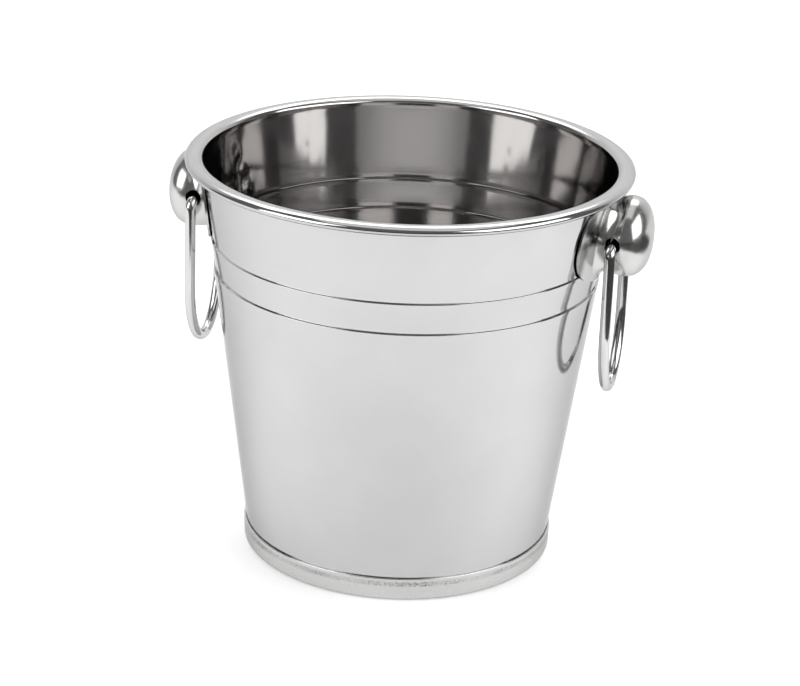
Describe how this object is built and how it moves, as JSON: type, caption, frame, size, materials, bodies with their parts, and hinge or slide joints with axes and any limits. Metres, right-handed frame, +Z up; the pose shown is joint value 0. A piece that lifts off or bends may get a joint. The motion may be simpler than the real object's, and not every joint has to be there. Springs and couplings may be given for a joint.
{
  "type": "ice bucket",
  "caption": "Tapered open ice bucket in polished stainless sheet with a rolled rim, a stepped collar, a foot band and free-swinging ring handles on round hollow lugs.",
  "frame": {"origin": "centre of the base, on the surface the bucket stands on", "axes": "+Z up along the bucket's axis, +X along the line through the two lugs, +Y completing a right-handed frame"},
  "size_m": [0.2278, 0.206, 0.19],
  "materials": {
    "polished_sheet": "mirror-polished stainless steel sheet",
    "satin_foot": "satin stainless steel with a scuffed stripe under the seam",
    "satin_lug": "soft satin-polished stainless steel",
    "polished_wire": "polished round stainless steel wire"
  },
  "bodies": {
    "bucket": {"bucket_body": "polished_sheet", "foot_band": "satin_foot", "lug_right": "satin_lug", "lug_left": "satin_lug"},
    "ring_right": {"ring_right": "polished_wire"},
    "ring_left": {"ring_left": "polished_wire"}
  },
  "joints": [
    {"name": "ring_right_swing", "type": "hinge", "parent": "bucket", "child": "ring_right", "pos_m": [0.0982, 0, 0.1629], "axis": [0, -1, 0], "range_deg": [-9, 160]},
    {"name": "ring_left_swing", "type": "hinge", "parent": "bucket", "child": "ring_left", "pos_m": [-0.0982, 0, 0.1629], "axis": [0, 1, 0], "range_deg": [-9, 160]}
  ]
}
